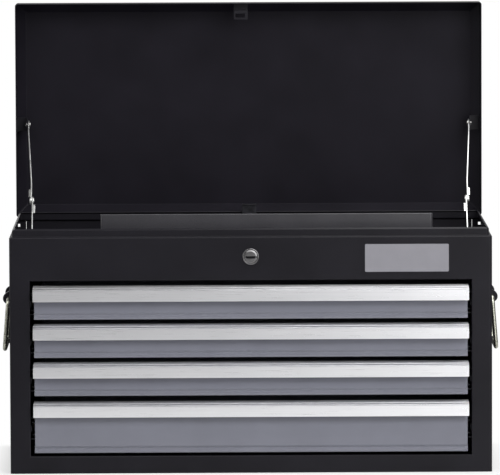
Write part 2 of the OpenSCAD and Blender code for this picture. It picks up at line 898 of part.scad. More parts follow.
module lock_plug() {
    slot_w = 2.6;
    slot_len = 9;
    slot_depth = 6;
    plug_front = y_front - ring_t - 0.5;
    color(zinc) translate([0, 0, lock_z]) difference() {
        rod_y(lock_plug_d / 2, plug_front, cam_y - face_gap);
        translate([-slot_len / 2, plug_front - cut, -slot_w / 2])
            cube([slot_len, slot_depth + cut, slot_w]);
    }
}

// The cam's arm carries an arc-shaped hook that turns about the plug
module lock_cam() {
    hub_r = 7;
    arm_w = 6;
    hook_tail = 12;
    hook_mid_r = (hook_r_in + hook_r_out) / 2;
    color(zinc) translate([0, cam_y + cam_t, lock_z]) rotate([90, 0, 0]) {
        difference() {
            cylinder(r = hub_r, h = cam_t);
            translate([0, 0, -cut]) cylinder(r = cam_screw_r + running, h = cam_t + 2 * cut);
        }
        rotate(hook_to) translate([hub_r - 1, -arm_w / 2, 0])
            cube([hook_mid_r - hub_r + 1, arm_w, cam_t]);
        rotate(hook_from) rotate_extrude(angle = hook_to + hook_tail - hook_from)
            translate([hook_r_in, 0]) square([hook_r_out - hook_r_in, cam_t]);
    }
}

module cam_screw() {
    head_t = 2.5;
    color(zinc) translate([0, 0, lock_z]) {
        rod_y(2 * cam_screw_r, cam_y + cam_t, cam_y + cam_t + head_t);
        rod_y(cam_screw_r, cam_y - face_gap, cam_y + cam_t);
    }
}

// ---- Drawer lock bar ----

module lock_bar() {
    color(zinc) {
        translate([-lock_bar_w / 2, bar_y, bar_bottom])
            cube([lock_bar_w, lock_bar_t, bar_top - bar_bottom]);
        translate([-lock_bar_w / 2, bar_mid_y - pad_d / 2, bar_top - pad_t])
            cube([lock_bar_w, pad_d, pad_t]);
        for (i = [0 : drawer_count - 1]) lock_hook(hook_tip_z(i));
    }
}

module lock_hook(tip_z) {
    translate([-hook_w / 2, hook_y, tip_z]) {
        cube([hook_w, hook_t, hook_len + hook_t]);
        translate([0, 0, hook_len]) cube([hook_w, bar_mid_y - hook_y, hook_t]);
    }
}

// A strap fixed to the back panel that the bar slides through
module lock_bar_guide(z) {
    wall_y = bar_y - guide_clear - guide_wall;
    inner_w = lock_bar_w + 2 * guide_clear;
    outer_w = inner_w + 2 * guide_wall;
    translate([-outer_w / 2, wall_y, z]) difference() {
        cube([outer_w, y_back - sheet - wall_y, guide_h]);
        translate([guide_wall, guide_wall, -cut])
            cube([inner_w, lock_bar_t + 2 * guide_clear, guide_h + 2 * cut]);
    }
}

module lock_bar_guides() {
    upper_gap = 4;
    color(zinc) {
        lock_bar_guide(floor_z - upper_gap - guide_h);
        lock_bar_guide((hook_tip_z(2) + hook_tip_z(3) - guide_h) / 2);
    }
}

module lock_bar_spring() {
    spring_r = 4;
    wire = 1;
    color(zinc) translate([0, bar_mid_y, sheet]) difference() {
        cylinder(r = spring_r, h = bar_bottom - sheet - face_gap);
        translate([0, 0, -cut]) cylinder(r = spring_r - wire, h = bar_bottom + cut);
    }
}

// ---- Side handles ----

module handle_ear(y) {
    reach = bail_x - half_w;
    translate([half_w, y - ear_w / 2, 0]) {
        translate([reach, 0, bail_pivot_z]) rod_y(ear_r, 0, ear_w);
        translate([0, ear_w, 0]) rotate([90, 0, 0]) linear_extrude(height = ear_w)
            polygon([[0, plate_top], [plate_t, plate_top],
                     [reach + ear_r * 0.6, bail_pivot_z + ear_r * 0.8],
                     [reach, bail_pivot_z - ear_r], [0, bail_pivot_z - ear_r]]);
    }
}

// The plate with two ears for the bail and two ribs that the resting bail leans on
module handle_plate() {
    lean_out = (bail_pivot_z - rib_z) * tan(bail_lean);
    rib_out = bail_x - half_w + lean_out - bail_r - face_gap;
    plate_bottom = plate_top - plate_h;
    difference() {
        union() {
            translate([half_w, -plate_w / 2, plate_bottom]) cube([plate_t, plate_w, plate_h]);
            for (side = [-1, 1]) {
                handle_ear(side * bail_span / 2);
                translate([half_w, side * bail_span / 2 - rib_w / 2, rib_z - rib_h])
                    cube([rib_out, rib_w, rib_h]);
            }
        }
        translate([bail_x, 0, bail_pivot_z]) rod_y(bail_r + running, -plate_w, plate_w);
        translate([half_w - ear_r, -plate_w, plate_bottom]) cube([ear_r, 2 * plate_w, plate_h]);
        for (side = [-1, 1], z = plate_rivet_z)
            translate([0, side * plate_rivet_y, z])
                rod_x(plate_rivet_r, half_w - cut, half_w + plate_t + cut);
    }
}

module left_handle_plate() {
    color(zinc) mirror([1, 0, 0]) handle_plate();
}

module right_handle_plate() {
    color(zinc) handle_plate();
}

module handle_rivets() {
    head_r = 3.5;
    head_t = 1;
    plate_face = half_w + plate_t;
    color(zinc) mirrored_pair()
        for (side = [-1, 1], z = plate_rivet_z) translate([0, side * plate_rivet_y, z]) {
            rod_x(plate_rivet_r - running, half_w, plate_face);
            rod_x(head_r, plate_face, plate_face + head_t);
        }
}

// The bail hangs from its two stubs and leans out by bail_lean
module bail() {
    leg_y = bail_span / 2 + ear_w / 2 + face_gap + bail_bend;
    stub_y = bail_span / 2 - ear_w / 2 - 1;
    translate([bail_x, 0, bail_pivot_z]) rotate([0, -bail_lean, 0]) {
        for (side = [0, 1]) mirror([0, side, 0]) {
            rod_y(bail_r, stub_y, leg_y - bail_bend);
            translate([0, leg_y - bail_bend, -bail_bend]) rotate([0, 90, 0])
                rotate([0, 0, 90]) rotate_extrude(angle = 90)
                    translate([bail_bend, 0]) circle(r = bail_r);
            translate([0, leg_y, -bail_drop + bail_bend])
                cylinder(r = bail_r, h = bail_drop - 2 * bail_bend);
            translate([0, leg_y - bail_bend, -bail_drop + bail_bend]) rotate([0, 90, 0])
                rotate_extrude(angle = 90) translate([bail_bend, 0]) circle(r = bail_r);
        }
        translate([0, 0, -bail_drop]) rod_y(bail_r, bail_bend - leg_y, leg_y - bail_bend);
    }
}

module left_handle_bail() {
    color(zinc) mirror([1, 0, 0]) bail();
}

module right_handle_bail() {
    color(zinc) bail();
}

// ---- Tote tray ----

// A block on the tray's plan, drawn in by inset and ending drop below the tray's top
module tray_block(inset, bottom, drop) {
    far = tray_d - inset;
    along_x(inset, tray_w - inset,
            [[inset, bottom], [far, bottom],
             [far, tray_top(far) - drop], [inset, tray_top(inset) - drop]]);
}

module tote_tray() {
    color(tray_grey) translate([tray_shift - tray_w / 2, y_front + tray_fore_gap, tray_z])
        difference() {
            tray_block(0, 0, 0);
            tray_block(2 * sheet, sheet, -cut);
            tray_block(sheet, sheet, tray_hem_h);
        }
}

left_side_panel();
right_side_panel();
back_panel();
bottom_panel();
front_frame();
top_rim();
compartment_floor();
left_carrier_wall();
right_carrier_wall();
cabinet_slide_rails();
body_hinge_leaf();
hinge_pin();
stay_brackets();
stay_bracket_rivets();
lock_housing();
lock_nut();
blank_label();
left_handle_plate();
right_handle_plate();
handle_rivets();
lock_bar_guides();
lock_bar_spring();
lock_bar();
lock_plug();
lock_cam();
cam_screw();
left_handle_bail();
right_handle_bail();
tote_tray();
lid_shell();
stay_lid_brackets();
lid_hinge_leaf();
lid_striker();
lock_bar_pusher();
stay_lid_rivets();
left_stay_upper_bar();
left_stay_lower_bar();
right_stay_upper_bar();
right_stay_lower_bar();
drawer_pan(0);  // drawer_1_pan
drawer_front(0);  // drawer_1_front
handle_strip(0);  // drawer_1_handle_strip
drawer_rails(0);  // drawer_1_rails
ball_cages(0);  // drawer_1_ball_cages
drawer_pan(1);  // drawer_2_pan
drawer_front(1);  // drawer_2_front
handle_strip(1);  // drawer_2_handle_strip
drawer_rails(1);  // drawer_2_rails
ball_cages(1);  // drawer_2_ball_cages
drawer_pan(2);  // drawer_3_pan
drawer_front(2);  // drawer_3_front
handle_strip(2);  // drawer_3_handle_strip
drawer_rails(2);  // drawer_3_rails
ball_cages(2);  // drawer_3_ball_cages
drawer_pan(3);  // drawer_4_pan
drawer_front(3);  // drawer_4_front
handle_strip(3);  // drawer_4_handle_strip
drawer_rails(3);  // drawer_4_rails
ball_cages(3);  // drawer_4_ball_cages
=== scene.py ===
"""Formed sheet metal, finishes and a small studio for a four-drawer machinist tool chest.

Every length is in metres, in the chest's own frame: +Z up, the front faces -Y, and the
origin is the centre of the cabinet's underside. The lid stands open, the drawers are shut.
"""

import json
import math
from contextlib import contextmanager

import bmesh
import bpy
from bpy.props import FloatProperty, FloatVectorProperty, PointerProperty
from bpy.types import Operator, Panel, PropertyGroup
from mathutils import Matrix, Vector

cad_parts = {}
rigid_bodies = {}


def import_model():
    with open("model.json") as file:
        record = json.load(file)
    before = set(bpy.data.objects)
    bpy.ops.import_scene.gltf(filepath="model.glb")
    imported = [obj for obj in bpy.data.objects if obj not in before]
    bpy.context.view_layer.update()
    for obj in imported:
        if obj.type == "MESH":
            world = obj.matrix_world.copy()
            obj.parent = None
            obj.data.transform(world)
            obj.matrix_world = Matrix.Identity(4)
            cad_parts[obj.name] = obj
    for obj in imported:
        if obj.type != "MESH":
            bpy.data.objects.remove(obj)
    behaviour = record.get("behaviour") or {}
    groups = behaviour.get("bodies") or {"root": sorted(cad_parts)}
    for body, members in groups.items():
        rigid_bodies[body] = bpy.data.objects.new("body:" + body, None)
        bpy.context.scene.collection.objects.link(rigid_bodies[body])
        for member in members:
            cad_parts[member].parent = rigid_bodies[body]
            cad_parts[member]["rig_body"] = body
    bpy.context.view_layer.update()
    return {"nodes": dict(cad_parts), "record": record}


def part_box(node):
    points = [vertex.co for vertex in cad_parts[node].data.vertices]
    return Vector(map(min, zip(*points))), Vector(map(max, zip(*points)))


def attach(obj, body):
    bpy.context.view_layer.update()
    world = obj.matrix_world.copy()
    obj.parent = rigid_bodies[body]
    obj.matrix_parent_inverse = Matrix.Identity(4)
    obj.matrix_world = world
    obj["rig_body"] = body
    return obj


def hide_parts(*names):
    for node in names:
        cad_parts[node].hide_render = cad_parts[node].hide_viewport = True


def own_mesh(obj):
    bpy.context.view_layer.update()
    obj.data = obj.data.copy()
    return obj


bl_info = {
    "name": "Machinist tool chest",
    "version": (1, 0, 0),
    "blender": (4, 5, 0),
    "location": "3D View > Sidebar > Chest",
    "description": "Folds, finishes and stages a four-drawer tool chest",
    "category": "Object",
}

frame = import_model()

MM = 0.001
SLOTS = {part["node"]: part["material_slot"] for part in frame["record"]["subparts"]}
# The photograph shows these as dark as the paint beside them
SLOTS.update({"lock_bar_pusher": "black_paint", "lock_bar": "black_zinc",
              "stay_bracket_rivets": "black_zinc"})
DRAWERS = (1, 2, 3, 4)
SIDES = {"left": -1, "right": 1}

# What the boxes of the frame's nodes give
front_low, front_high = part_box("front_frame")
HALF_WIDTH = front_high.x
FRONT_Y = front_low.y
BODY_TOP = front_high.z
BACK_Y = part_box("left_side_panel")[1].y
HINGE_Y = sum(corner.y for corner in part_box("hinge_pin")) / 2
LID_PLATE_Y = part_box("lid_shell")[1].y
LIP_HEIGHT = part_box("top_rim")[1].z - BODY_TOP
LOCK_Z = sum(corner.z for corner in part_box("lock_housing")) / 2

BODY_MIDDLE = Vector((0, 0))
BODY_HALF = Vector((HALF_WIDTH, BACK_Y))
WALL_TOP = BODY_TOP - 2.4 * MM

# Real sizes that the boxes don't give
OPENING_HALF_WIDTH = 302 * MM
OPENING_BOTTOM = 24 * MM
OPENING_TOP = 264.8 * MM
# How far the front sheet runs back round the opening and along the side walls
OPENING_RETURN = 11 * MM
WING = 8 * MM
LEDGE = 4 * MM
LIP_UPRIGHT = 9 * MM
LIP_LEAN = 3 * MM
LID_SLOPE = 13.5 * MM
STRIP_SLOPE = 6.8 * MM
CATCH_ROOM = 12 * MM
SMALL_CORNER = 3 * MM
# A hem is sheet folded flat on itself, so its bends are just under one sheet in radius
HEM_BEND = 0.98 * MM
# The pans and the tray are of thinner sheet than the cabinet
PAN_SHEET_SHARE = 0.9

# How finely round things are made
BEND_STEPS = 5
TURN_STEPS = 64
COIL_STEPS = 16
# Points closer together than these are one point, or lie on one line
MERGED = 0.01 * MM
ON_LINE = 0.02 * MM

# Each lamp's name, place, target and size; its power is among the lights
LAMPS = (
    ("key", (1.2, -1.9, 1.6), (0.1, 0, 0.25), (1.6, 1.0)),
    ("panel", (1.3, -2.3, 0.45), (0.1, 0, 0.25), (1.9, 1.6)),
    ("fill", (-2.0, -0.4, 0.9), (0, 0, 0.3), (1.2, 1.4)),
    ("top", (0.6, -0.1, 1.8), (0.1, 0, 0.3), (1.6, 1.2)),
    ("front", (-0.2, -2.0, 1.9), (0, 0, 0.3), (2.4, 1.0)),
    ("back", (-1.6, 2.2, 1.3), (0, 0, 0.3), (1.6, 1.2)),
)
FLOOR_RADIUS = 60
# How far from the cabinet's walls the floor fades, for the camera and in reflections
SEEN_FADE = (-0.05, 0.05)
MIRRORED_FADE = (0.64, 0.70)


# ---- Sizes, colours and lights that a user may change ----

class ChestFolds(PropertyGroup):
    sheet: FloatProperty(name="Sheet", description="Thickness of the sheet steel",
                         default=1 * MM, unit="LENGTH")
    corner: FloatProperty(name="Corner radius", default=4 * MM, unit="LENGTH",
                          description="Radius of the cabinet's upright corners")
    rim: FloatProperty(name="Rim radius", default=2 * MM, unit="LENGTH",
                       description="Radius of the fold round the top of the walls")
    lid: FloatProperty(name="Lid radius", description="Radius of the folds in the lid",
                       default=2.5 * MM, unit="LENGTH")
    opening: FloatProperty(name="Opening radius", default=1.6 * MM, unit="LENGTH",
                           description="Radius of the fold round the drawer opening")
    drawer: FloatProperty(name="Drawer radius", default=1.6 * MM, unit="LENGTH",
                          description="Radius of the folds in the drawers and the tray")
    edge: FloatProperty(name="Cut edge", description="Width of the rounding on a cut edge",
                        default=0.25 * MM, unit="LENGTH")


class ChestColours(PropertyGroup):
    black: FloatVectorProperty(name="Cabinet", description="Powder coat of the cabinet and the lid",
                               subtype="COLOR", default=(0.0082, 0.0077, 0.0103))
    # Painted shade: the inside of the lid gets a duller copy of the cabinet's coat, which renders
    # darker than the same paint outside
    lining: FloatVectorProperty(name="Lid inside", description="Powder coat inside the lid",
                                subtype="COLOR", default=(0.0086, 0.0078, 0.0110))
    drawer: FloatVectorProperty(name="Drawers", description="Enamel of the drawers",
                                subtype="COLOR", default=(0.138, 0.141, 0.170))
    tray: FloatVectorProperty(name="Tray", description="Paint of the lift-out tray",
                              subtype="COLOR", default=(0.032, 0.031, 0.036))
    aluminium: FloatVectorProperty(name="Handle strips", description="Brushed aluminium",
                                   subtype="COLOR", default=(0.86, 0.86, 0.88))
    zinc: FloatVectorProperty(name="Zinc", description="Zinc plate of the stays and small parts",
                              subtype="COLOR", default=(0.60, 0.60, 0.59))
    # Near black for the slides, the lock bar and the body brackets' rivets; the slides are darkened
    # to match the gaps round the drawers they show through
    rails: FloatVectorProperty(name="Slides", subtype="COLOR", default=(0.035, 0.035, 0.04),
                               description="Black zinc plate of the slide rails and the lock bar")
    chrome: FloatVectorProperty(name="Bright plate", description="Bright plate of the rivets",
                                subtype="COLOR", default=(0.72, 0.71, 0.69))
    bail: FloatVectorProperty(name="Bails", description="Plate of the side handles' bails",
                              subtype="COLOR", default=(0.40, 0.40, 0.34))
    lock: FloatVectorProperty(name="Lock", description="Satin plate of the lock's ring and plug",
                              subtype="COLOR", default=(0.165, 0.162, 0.165))
    cage: FloatVectorProperty(name="Ball cages", description="Yellow zinc of the ball cages",
                              subtype="COLOR", default=(0.55, 0.47, 0.27))
    label: FloatVectorProperty(name="Label", description="Foil of the blank label",
                               subtype="COLOR", default=(0.185, 0.182, 0.202))
    floor: FloatVectorProperty(name="Floor", description="Floor round the chest",
                               subtype="COLOR", default=(0.68, 0.68, 0.68))


class ChestLights(PropertyGroup):
    key: FloatProperty(name="Key", description="Power of the lamp at the front right, in watts",
                       default=26)
    fill: FloatProperty(name="Fill", description="Power of the lamp at the front left, in watts",
                        default=16)
    panel: FloatProperty(name="Panel", default=32,
                         description="Power of the low panel at the front right, in watts")
    top: FloatProperty(name="Top", description="Power of the lamp above, in watts", default=25)
    front: FloatProperty(name="Front", description="Power of the high lamp in front, in watts",
                         default=30)
    back: FloatProperty(name="Back", description="Power of the lamp behind, in watts",
                        default=18)
    room: FloatProperty(name="Room", description="Strength of the light from all round",
                        default=0.1)
    gloss: FloatProperty(name="Gloss", default=0.3,
                         description="Brightness of the room and the far floor in shiny surfaces")


def folds():
    return bpy.context.scene.chest_folds


def colours():
    return bpy.context.scene.chest_colours


# ---- Selecting and shaping ----

def select_only(*pieces):
    bpy.ops.object.select_all(action="DESELECT")
    for piece in pieces:
        piece.select_set(True)
    bpy.context.view_layer.objects.active = pieces[0]


@contextmanager
def editing(piece, kind="EDGE", action="DESELECT"):
    """Edit mode on one piece, with nothing selected, or all of it if the action is SELECT."""
    select_only(piece)
    bpy.ops.object.mode_set(mode="EDIT")
    bpy.ops.mesh.select_mode(type=kind)
    bpy.ops.mesh.select_all(action=action)
    yield
    bpy.ops.object.mode_set(mode="OBJECT")


def middle(item):
    """The middle of an edge or face."""
    return sum((vert.co for vert in item.verts), Vector()) / len(item.verts)


def pick(piece, kind, wanted):
    """Adds to the selection the verts, edges or faces that wanted() says yes to."""
    mesh = bmesh.from_edit_mesh(piece.data)
    found = [item for item in getattr(mesh, kind) if wanted(item)]
    if not found:
        raise RuntimeError(f"{piece.name}: no {kind} where they should be")
    for item in found:
        item.select_set(True)
    bmesh.update_edit_mesh(piece.data)


def near(value, target):
    return abs(value - target) < ON_LINE


def rounded(points, radii, steps=4):
    """The path with its inner corners turned into arcs; one radius for each corner."""
    points = [Vector(point) for point in points]
    path = [points[0]]
    for before, corner, after, radius in zip(points, points[1:], points[2:], radii):
        towards = (before - corner).normalized()
        away = (after - corner).normalized()
        half_angle = towards.angle(away) / 2
        centre = corner + (towards + away).normalized() * radius / math.sin(half_angle)
        reach = radius / math.tan(half_angle)
        start = (corner + towards * reach - centre).normalized()
        end = (corner + away * reach - centre).normalized()
        path += [centre + start.slerp(end, step / steps) * radius for step in range(steps + 1)]
    path.append(points[-1])
    return path


def named(name):
    """The piece that was just added, under its own name."""
    piece = bpy.context.active_object
    piece.name = name
    return piece


def settle(piece):
    """Puts the piece's place, turn and scale into its mesh."""
    select_only(piece)
    bpy.ops.object.transform_apply(location=True, rotation=True, scale=True)


def drawn_line(name, points):
    """A chain of edges through the points."""
    points = [Vector(point) for point in points]
    bpy.ops.mesh.primitive_plane_add(size=MM, location=points[0])
    piece = named(name)
    settle(piece)
    with editing(piece, "VERT", "SELECT"):
        bpy.ops.mesh.merge(type="CENTER")
        for before, after in zip(points, points[1:]):
            bpy.ops.mesh.extrude_vertices_move(TRANSFORM_OT_translate={"value": after - before})
    return piece


def extrude_along(*points):
    """Draws the selected edges out along the path through the points."""
    points = [Vector(point) for point in points]
    for before, after in zip(points, points[1:]):
        bpy.ops.mesh.extrude_edges_move(TRANSFORM_OT_translate={"value": after - before})


def fold_back(piece, side, edge_x, radius, depth):
    """Folds the upright edge at one side of a front sheet back, as deep as depth."""
    angles = [math.pi / 2 * step / BEND_STEPS for step in range(BEND_STEPS + 1)]
    bend = [Vector((side * radius * math.sin(angle), radius * (1 - math.cos(angle)), 0))
            for angle in angles]
    with editing(piece):
        pick(piece, "edges", lambda edge: near(middle(edge).x, side * edge_x))
        extrude_along(*bend, bend[-1] + Vector((0, depth - radius, 0)))


def face_out(piece, inside):
    """Turns all faces the same way, away from the point inside."""
    with editing(piece, "FACE", "SELECT"):
        bpy.ops.mesh.normals_make_consistent(inside=False)
        mesh = bmesh.from_edit_mesh(piece.data)
        inside = Vector(inside)
        outward = sum(face.calc_area() * face.normal.dot(face.calc_center_median() - inside)
                      for face in mesh.faces)
        if outward < 0:
            bpy.ops.mesh.flip_normals()


def merge_doubles(piece):
    with editing(piece, "VERT", "SELECT"):
        bpy.ops.mesh.remove_doubles(threshold=MERGED)


def use_modifier(piece, kind, **settings):
    select_only(piece)
    modifier = piece.modifiers.new(kind.title(), kind)
    for name, value in settings.items():
        setattr(modifier, name, value)
    bpy.ops.object.modifier_apply(modifier=modifier.name)


def give_thickness(piece, thickness, inner_material=0):
    """Turns a surface into sheet metal whose outer face stays where it is."""
    use_modifier(piece, "SOLIDIFY", thickness=thickness, offset=-1, use_even_offset=True,
                 material_offset=inner_material)


def smooth(piece, angle=35):
    select_only(piece)
    bpy.ops.object.shade_smooth_by_angle(angle=math.radians(angle))
    use_modifier(piece, "WEIGHTED_NORMAL", keep_sharp=True, weight=60)


def soften(piece, width=None, segments=2):
    """Rounds the sharp edges a little, as paint and a file do."""
    use_modifier(piece, "BEVEL", width=width or folds().edge, segments=segments,
                 limit_method="ANGLE", angle_limit=math.radians(50))
    smooth(piece)


def stretched(name, points, sweep, inside):
    """A surface swept straight from a chain of points."""
    piece = drawn_line(name, points)
    with editing(piece, action="SELECT"):
        extrude_along((0, 0, 0), sweep)
    merge_doubles(piece)
    face_out(piece, inside)
    return piece


def solid_bar(name, outline, sweep):
    """A solid swept straight from a closed outline."""
    piece = drawn_line(name, outline)
    with editing(piece, action="SELECT"):
        bpy.ops.mesh.edge_face_add()
        bpy.ops.mesh.extrude_region_move(TRANSFORM_OT_translate={"value": sweep})
        bpy.ops.mesh.select_all(action="SELECT")
        bpy.ops.mesh.normals_make_consistent(inside=False)
    return piece


def swept_ring(name, centre, half, corner, section, floor=False):
    """A shell with rounded corners round a vertical middle line.

    The section's points are (distance in from the outer wall, height), and floor keeps the
    face that closes its first ring.
    """
    inset, height = section[0]
    bpy.ops.mesh.primitive_plane_add(size=2, location=(centre.x, centre.y, height))
    piece = named(name)
    piece.scale = (half.x - inset, half.y - inset, 1)
    settle(piece)
    with editing(piece, "VERT", "SELECT"):
        bpy.ops.mesh.bevel(offset=corner, segments=BEND_STEPS, affect="VERTICES")
        if not floor:
            bpy.ops.mesh.select_all(action="SELECT")
            bpy.ops.mesh.delete(type="ONLY_FACE")
        bpy.ops.mesh.select_mode(type="EDGE")
        bpy.ops.mesh.select_all(action="SELECT")
        for before, after in zip(section, section[1:]):
            extrude_along((0, 0, before[1]), (0, 0, after[1]))
            grow = ((half.x - after[0]) / (half.x - before[0]),
                    (half.y - after[0]) / (half.y - before[0]), 1)
            bpy.ops.transform.resize(value=grow, center_override=(centre.x, centre.y, after[1]))
    merge_doubles(piece)
    return piece


def turned(name, centre, section):
    """A solid turned about a line along Y; the section's points are (radius, place along Y)."""
    centre = Vector(centre)
    piece = drawn_line(name, [centre + Vector((radius, along, 0)) for radius, along in section])
    with editing(piece, action="SELECT"):
        bpy.ops.mesh.spin(steps=TURN_STEPS, angle=math.tau, center=centre, axis=(0, 1, 0))
    merge_doubles(piece)
    with editing(piece, "FACE", "SELECT"):
        bpy.ops.mesh.normals_make_consistent(inside=False)
    return piece


def flat_panel(name, low, high, facing):
    """A rectangle between two corners that share the coordinate of the direction facing."""
    low, high = Vector(low), Vector(high)
    turn = Vector(facing).to_track_quat("Z", "Y").to_matrix()
    across, along = (abs((turn @ Vector(axis)).dot(high - low)) for axis in ((1, 0, 0), (0, 1, 0)))
    size = Matrix.Diagonal((across, along, 1, 1))
    bpy.ops.mesh.primitive_plane_add(size=1)
    piece = named(name)
    piece.matrix_world = Matrix.Translation((low + high) / 2) @ turn.to_4x4() @ size
    settle(piece)
    return piece


def hemmed_pan(name, low, high, hem, back_drop=0):
    """An open box of thin sheet with a hem rolled round its top; its back may stand lower."""
    sizes = folds()
    centre = (low + high) / 2
    half = (high - low) / 2
    bottom_in = 6 * MM
    hem_in = 2 * sizes.sheet
    section = [(bottom_in, low.z), (0, low.z), (0, high.z), (hem_in, high.z),
               (hem_in, high.z - hem)]
    section = rounded(section, [sizes.drawer, HEM_BEND, HEM_BEND])
    piece = swept_ring(name, centre.xy, half.xy, SMALL_CORNER, section, floor=True)
    if back_drop:
        with editing(piece, "VERT"):
            pick(piece, "verts", lambda vert: vert.co.y > centre.y and vert.co.z > centre.z)
            bpy.ops.transform.translate(value=(0, 0, -back_drop))
    face_out(piece, centre)
    give_thickness(piece, sizes.sheet * PAN_SHEET_SHARE)
    smooth(piece)
    return piece


def cut_box(piece, low, high):
    """Takes the box between two corners out of a solid piece."""
    low, high = Vector(low), Vector(high)
    bpy.ops.mesh.primitive_cube_add(size=1, location=(low + high) / 2, scale=high - low)
    cutter = bpy.context.active_object
    use_modifier(piece, "BOOLEAN", operation="DIFFERENCE", object=cutter, solver="EXACT")
    bpy.data.objects.remove(cutter)


def merged_copy(node, name):
    """A clean copy of a node's mesh, with whole faces in place of its loose triangles."""
    source = frame["nodes"][node]
    piece = bpy.data.objects.new(name, source.data.copy())
    bpy.context.scene.collection.objects.link(piece)
    piece.data.materials.clear()
    select_only(piece)
    bpy.ops.mesh.customdata_custom_splitnormals_clear()
    with editing(piece, "VERT", "SELECT"):
        bpy.ops.mesh.remove_doubles(threshold=MERGED / 2)
        bpy.ops.mesh.dissolve_limited(angle_limit=math.radians(0.5))
    return piece


def place(piece, material, *nodes, body=None):
    """Gives the piece its material and lets it ride and stand for the nodes."""
    if not piece.data.materials:
        piece.data.materials.append(material)
    first = nodes[0] if nodes else body
    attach(piece, body or frame["nodes"][first]["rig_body"])
    if nodes:
        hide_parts(*nodes)


def dress(node, material, width=0.3 * MM, segments=2):
    """Replaces a node with a copy whose edges are rounded."""
    piece = merged_copy(node, node + "_rounded")
    soften(piece, width, segments)
    place(piece, material, node)


# ---- Finishes ----

class Finish:
    """A material under construction: its shader and short calls for adding nodes."""

    def __init__(self, name, colour, roughness, metallic=0.0, specular=0.5):
        self.material = bpy.data.materials.new(name)
        self.material.use_nodes = True
        self.tree = self.material.node_tree
        self.shader = self.tree.nodes["Principled BSDF"]
        self.colour = tuple(colour)
        self.fill(self.shader, {"Base Color": (*self.colour, 1), "Roughness": roughness,
                                "Metallic": metallic, "Specular IOR Level": specular})
        self.place = self.add("ShaderNodeTexCoord").outputs["Object"]

    @staticmethod
    def fill(node, values):
        for name, value in values.items():
            node.inputs[name].default_value = value

    def add(self, kind, values=None, **settings):
        """A new node with these settings and these values on its inputs."""
        node = self.tree.nodes.new(kind)
        for name, value in settings.items():
            setattr(node, name, value)
        self.fill(node, values or {})
        return node

    def link(self, source, target):
        self.tree.links.new(source, target)

    def noise(self, size, detail=3.0, stretch=(1, 1, 1)):
        """Noise whose grains are about size metres across, drawn out by stretch."""
        scale = [1 / (size * factor) for factor in stretch]
        mapping = self.add("ShaderNodeMapping", {"Scale": scale})
        self.link(self.place, mapping.inputs["Vector"])
        noise = self.add("ShaderNodeTexNoise", {"Scale": 1, "Detail": detail})
        self.link(mapping.outputs["Vector"], noise.inputs["Vector"])
        return noise.outputs["Fac"]

    def ranged(self, value, low, high):
        """Spreads the middle of a noise, where nearly all of it lies, over low to high."""
        ranged = self.add("ShaderNodeMapRange", {"From Min": 0.3, "From Max": 0.7,
                                                 "To Min": low, "To Max": high})
        self.link(value, ranged.inputs["Value"])
        return ranged.outputs["Result"]

    def vary_colour(self, value, low, high):
        """Scales the colour by low to high as the value goes from its low to its high end."""
        darker = (*[low * part for part in self.colour], 1)
        lighter = (*[high * part for part in self.colour], 1)
        mix = self.add("ShaderNodeMix", {"A": darker, "B": lighter}, data_type="RGBA")
        self.link(self.ranged(value, 0, 1), mix.inputs["Factor"])
        self.link(mix.outputs["Result"], self.shader.inputs["Base Color"])

    def vary_roughness(self, value, low, high):
        self.link(self.ranged(value, low, high), self.shader.inputs["Roughness"])

    def emboss(self, *layers):
        """Bumps from (height value, depth in metres, strength) layers, the coarsest first."""
        normal = None
        for height, depth, strength in layers:
            bump = self.add("ShaderNodeBump", {"Distance": depth, "Strength": strength})
            self.link(height, bump.inputs["Height"])
            if normal:
                self.link(normal, bump.inputs["Normal"])
            normal = bump.outputs["Normal"]
        self.link(normal, self.shader.inputs["Normal"])


def powder_coat(name, colour, roughness, specular):
    """Satin powder coat with fine grain on shallow orange peel."""
    finish = Finish(name, colour, roughness, specular=specular)
    peel = finish.noise(2.6 * MM, 2)
    grain = finish.noise(0.45 * MM, 2)
    clouds = finish.noise(60 * MM, 3)
    finish.vary_colour(clouds, 0.86, 1.14)
    finish.vary_roughness(grain, roughness - 0.05, roughness + 0.06)
    finish.emboss((peel, 0.05 * MM, 0.35), (grain, 0.02 * MM, 0.3))
    return finish.material


def enamel(name, colour, roughness):
    """Smooth stove enamel with faint waves."""
    finish = Finish(name, colour, roughness, specular=0.45)
    waves = finish.noise(9 * MM, 2)
    peel = finish.noise(1.6 * MM, 2)
    finish.vary_colour(finish.noise(45 * MM, 3), 0.96, 1.04)
    finish.vary_roughness(peel, roughness - 0.03, roughness + 0.04)
    finish.emboss((waves, 0.06 * MM, 0.25), (peel, 0.02 * MM, 0.3))
    return finish.material


def brushed_aluminium(name, colour):
    """Extruded aluminium brushed along the strip."""
    finish = Finish(name, colour, 0.3, metallic=1.0)
    lines = finish.noise(0.35 * MM, 4, stretch=(160, 1, 1))
    bands = finish.noise(1.6 * MM, 2, stretch=(220, 1, 1))
    finish.vary_colour(bands, 0.98, 1.02)
    finish.vary_roughness(lines, 0.27, 0.33)
    finish.emboss((lines, 0.003 * MM, 0.1))
    return finish.material


def plated(name, colour, roughness, blotch=0.08):
    """Zinc or bright plate with soft blotches and fine rolling marks."""
    finish = Finish(name, colour, roughness, metallic=1.0)
    cloud = finish.noise(7 * MM, 4)
    marks = finish.noise(0.5 * MM, 3, stretch=(1, 14, 1))
    finish.vary_colour(cloud, 1 - blotch, 1 + blotch)
    finish.vary_roughness(cloud, roughness * 0.8, roughness * 1.3)
    finish.emboss((marks, 0.01 * MM, 0.25))
    return finish.material


def label_foil(name, colour):
    """Matt foil with a fine grain."""
    finish = Finish(name, colour, 0.42, metallic=0.15, specular=0.4)
    finish.vary_colour(finish.noise(18 * MM, 3), 0.97, 1.03)
    finish.emboss((finish.noise(0.3 * MM, 2), 0.01 * MM, 0.3))
    return finish.material


